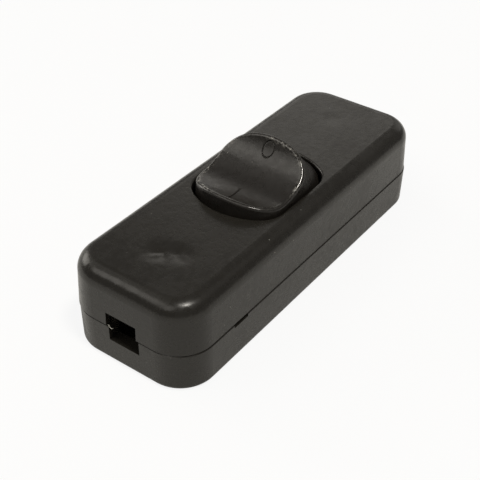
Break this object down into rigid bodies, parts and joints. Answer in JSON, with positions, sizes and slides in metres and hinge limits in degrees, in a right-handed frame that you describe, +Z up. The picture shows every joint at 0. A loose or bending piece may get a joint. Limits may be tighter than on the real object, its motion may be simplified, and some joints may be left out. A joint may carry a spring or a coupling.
{
  "type": "inline cord switch",
  "caption": "Black moulded inline cord switch with a dished rocker in a flat-topped case, a cord hole in each end, and terminals, see-saw contact and cord clamps inside.",
  "frame": {"origin": "centre of the underside", "axes": "+X along the cord, from the end marked I to the end marked 0; +Y across the case; +Z up, out of the top"},
  "size_m": [0.062, 0.0221, 0.0202],
  "materials": {
    "case_plastic": "satin moulded, black",
    "rocker_plastic": "satin moulded, black",
    "clamp_plastic": "moulded, dark grey",
    "nylon": "moulded, natural",
    "terminal_brass": "stamped strip",
    "contact_brass": "stamped strip",
    "contact_silver": "riveted silver alloy",
    "zinc_steel": "zinc plated",
    "spring_steel": "drawn wire"
  },
  "bodies": {
    "case": {"cover_shell": "case_plastic", "base_shell": "case_plastic", "fixed_contact": "contact_silver", "line_terminal": "terminal_brass", "load_terminal": "terminal_brass", "neutral_link": "terminal_brass", "clamp_washer_line_in": "zinc_steel", "terminal_screw_line_in": "zinc_steel", "clamp_washer_line_out": "zinc_steel", "terminal_screw_line_out": "zinc_steel", "clamp_washer_neutral_in": "zinc_steel", "terminal_screw_neutral_in": "zinc_steel", "clamp_washer_neutral_out": "zinc_steel", "terminal_screw_neutral_out": "zinc_steel", "cord_clamp_near": "clamp_plastic", "cord_clamp_screw_near_right": "zinc_steel", "cord_clamp_screw_near_left": "zinc_steel", "case_screw_near": "zinc_steel", "cord_clamp_far": "clamp_plastic", "cord_clamp_screw_far_right": "zinc_steel", "cord_clamp_screw_far_left": "zinc_steel", "case_screw_far": "zinc_steel"},
    "rocker": {"rocker": "rocker_plastic", "rocker_spring": "spring_steel"},
    "plunger": {"spring_plunger": "nylon"},
    "lever": {"contact_lever": "contact_brass", "moving_contact": "contact_silver"}
  },
  "joints": [
    {"name": "rocker_hinge", "type": "hinge", "parent": "case", "child": "rocker", "pos_m": [0, 0, 0.009], "axis": [0, 1, 0], "range_deg": [0, 32]},
    {"name": "plunger_slide", "type": "slide", "parent": "rocker", "child": "plunger", "axis": [-0.2756, 0, 0.9613], "range_m": [0, 0.0006], "stiffness_N_per_m": 300, "springref_m": -0.003, "deforming": ["rocker_spring"]},
    {"name": "lever_hinge", "type": "hinge", "parent": "case", "child": "lever", "pos_m": [0, 0, 0.00455], "axis": [0, 1, 0], "range_deg": [-11.15, 0]}
  ],
  "couplings": [
    {"joint": "lever_hinge", "follows": "rocker_hinge", "ratio": -0.34837}
  ]
}
